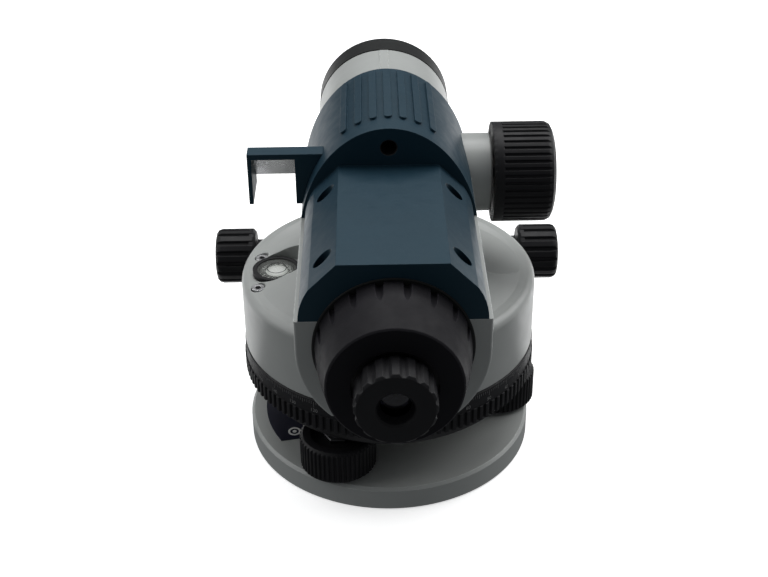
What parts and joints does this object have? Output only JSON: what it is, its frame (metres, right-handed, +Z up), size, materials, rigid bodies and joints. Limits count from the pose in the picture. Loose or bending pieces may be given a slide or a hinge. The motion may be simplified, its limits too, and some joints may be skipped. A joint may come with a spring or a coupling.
{
  "type": "automatic level",
  "caption": "Surveyor's automatic level: telescope on a turning drum with circular level, horizontal circle, tangent screw, focusing knob and three foot screws on a base plate.",
  "frame": {"origin": "centre of the tripod thread's mouth, on the underside of the base plate", "axes": "+Z up along the vertical axis, +Y along the telescope towards the objective, -Y to the eyepiece, +X to the side of the focusing knob"},
  "size_m": [0.135, 0.215, 0.145],
  "materials": {
    "grey_paint": "satin",
    "black_plastic": "matte",
    "blue_plastic": "satin",
    "steel": "satin",
    "black_paint": "satin",
    "brass": "machined",
    "aluminium": "machined",
    "glass": "polished",
    "mirror": "polished",
    "label": "satin",
    "liquid": "clear",
    "bubble": "clear",
    "dark_ring": "satin"
  },
  "bodies": {
    "base": {"base_plate": "grey_paint", "ball_seat_caps": "black_plastic", "base_label": "label"},
    "foot_screw_1": {"foot_screw_spindle_1": "steel", "foot_screw_knob_1": "black_plastic"},
    "foot_screw_2": {"foot_screw_spindle_2": "steel", "foot_screw_knob_2": "black_plastic"},
    "foot_screw_3": {"foot_screw_spindle_3": "steel", "foot_screw_knob_3": "black_plastic"},
    "spring": {"spring_plate": "steel"},
    "trivet": {"trivet": "black_paint", "foot_screw_bushes": "brass", "vertical_spindle": "steel", "spindle_retainer": "steel", "clutch_washer": "brass"},
    "circle": {"horizontal_circle": "black_plastic"},
    "drive": {"drive_wheel": "brass"},
    "alidade": {"body_casting": "grey_paint", "bearing_sleeve": "brass", "drum_floor": "aluminium", "worm_bushes": "black_plastic", "top_cover": "blue_plastic", "top_cover_screws": "steel", "mirror_bracket": "blue_plastic", "level_mirror": "mirror", "level_housing": "black_plastic", "level_vial": "glass", "level_liquid": "liquid", "level_bubble": "bubble", "level_screws": "steel", "objective_ring": "dark_ring", "objective_cell": "aluminium", "objective_lens_front": "glass", "objective_lens_rear": "glass", "focus_sleeve": "aluminium", "focus_bush": "brass", "compensator_frame": "aluminium", "fixed_prisms": "glass", "suspension_wires": "steel", "damping_magnets": "steel", "eyepiece_tube": "black_paint", "reticle_mount": "brass", "reticle_glass": "glass", "reticle_screws": "steel"},
    "tangent_screw": {"worm_shaft": "steel", "tangent_knob_right": "black_plastic", "tangent_knob_left": "black_plastic"},
    "focus_drive": {"focus_pinion_shaft": "steel", "focus_knob": "black_plastic"},
    "focus_carriage": {"focus_carriage": "brass", "focus_lens": "glass"},
    "pendulum": {"pendulum": "aluminium", "pendulum_prism": "glass"},
    "ocular": {"ocular_barrel": "black_paint", "eye_lens": "glass", "field_lens": "glass"},
    "dioptre": {"dioptre_knob": "black_plastic"},
    "reticle_cover": {"reticle_cover": "black_plastic"}
  },
  "joints": [
    {"name": "level_tilt_a", "type": "hinge", "parent": "base", "child": "spring", "pos_m": [-0.02147, -0.00113, 0.005], "axis": [0.0523, -0.9986, 0], "range_deg": [-1.2, 1.2]},
    {"name": "level_tilt_b", "type": "hinge", "parent": "spring", "child": "trivet", "pos_m": [0.01171, -0.01803, 0.005], "axis": [0.8387, 0.5446, 0], "range_deg": [-1.2, 1.2]},
    {"name": "circle_turn", "type": "hinge", "parent": "trivet", "child": "circle", "pos_m": [0, 0, 0.0395], "axis": [0, 0, 1], "continuous": true},
    {"name": "coarse_turn", "type": "hinge", "parent": "trivet", "child": "drive", "pos_m": [0, 0, 0.057], "axis": [0, 0, 1], "continuous": true},
    {"name": "fine_turn", "type": "hinge", "parent": "drive", "child": "alidade", "pos_m": [0, 0, 0.057], "axis": [0, 0, 1], "continuous": true},
    {"name": "tangent_screw_turn", "type": "hinge", "parent": "alidade", "child": "tangent_screw", "pos_m": [0, 0.0344, 0.057], "axis": [1, 0, 0], "continuous": true},
    {"name": "focus_knob_turn", "type": "hinge", "parent": "alidade", "child": "focus_drive", "pos_m": [0.05, 0.0038, 0.108], "axis": [1, 0, 0], "range_deg": [-262, 262]},
    {"name": "focus_lens_slide", "type": "slide", "parent": "alidade", "child": "focus_carriage", "axis": [0, 1, 0], "range_m": [-0.0109, 0.0109]},
    {"name": "compensator_swing", "type": "hinge", "parent": "alidade", "child": "pendulum", "pos_m": [0, -0.0525, 0.118], "axis": [1, 0, 0], "range_deg": [-0.5, 0.5]},
    {"name": "ocular_slide", "type": "slide", "parent": "alidade", "child": "ocular", "axis": [0, 1, 0], "range_m": [-0.0024, 0.0024]},
    {"name": "dioptre_turn", "type": "hinge", "parent": "ocular", "child": "dioptre", "pos_m": [0, -0.126, 0.1026], "axis": [0, 1, 0], "range_deg": [-179, 179]},
    {"name": "reticle_cover_twist", "type": "hinge", "parent": "alidade", "child": "reticle_cover", "pos_m": [0, -0.11, 0.1026], "axis": [0, 1, 0], "range_deg": [0, 25]},
    {"name": "foot_screw_1_turn", "type": "hinge", "parent": "base", "child": "foot_screw_1", "pos_m": [0.04294, 0.00225, 0.0175], "axis": [0, 0, 1], "range_deg": [-650, 650]},
    {"name": "foot_screw_2_turn", "type": "hinge", "parent": "base", "child": "foot_screw_2", "pos_m": [-0.02342, 0.03606, 0.0175], "axis": [0, 0, 1], "range_deg": [-650, 650]},
    {"name": "foot_screw_3_turn", "type": "hinge", "parent": "base", "child": "foot_screw_3", "pos_m": [-0.01952, -0.03831, 0.0175], "axis": [0, 0, 1], "range_deg": [-650, 650]}
  ],
  "couplings": [
    {"joint": "foot_screw_1_turn", "follows": "level_tilt_a", "ratio": -540.35},
    {"joint": "foot_screw_2_turn", "follows": "level_tilt_b", "ratio": -540.35},
    {"joint": "tangent_screw_turn", "follows": "fine_turn", "ratio": -80},
    {"joint": "focus_knob_turn", "follows": "focus_lens_slide", "rad_per_m": 416.67},
    {"joint": "dioptre_turn", "follows": "ocular_slide", "rad_per_m": 1250}
  ]
}
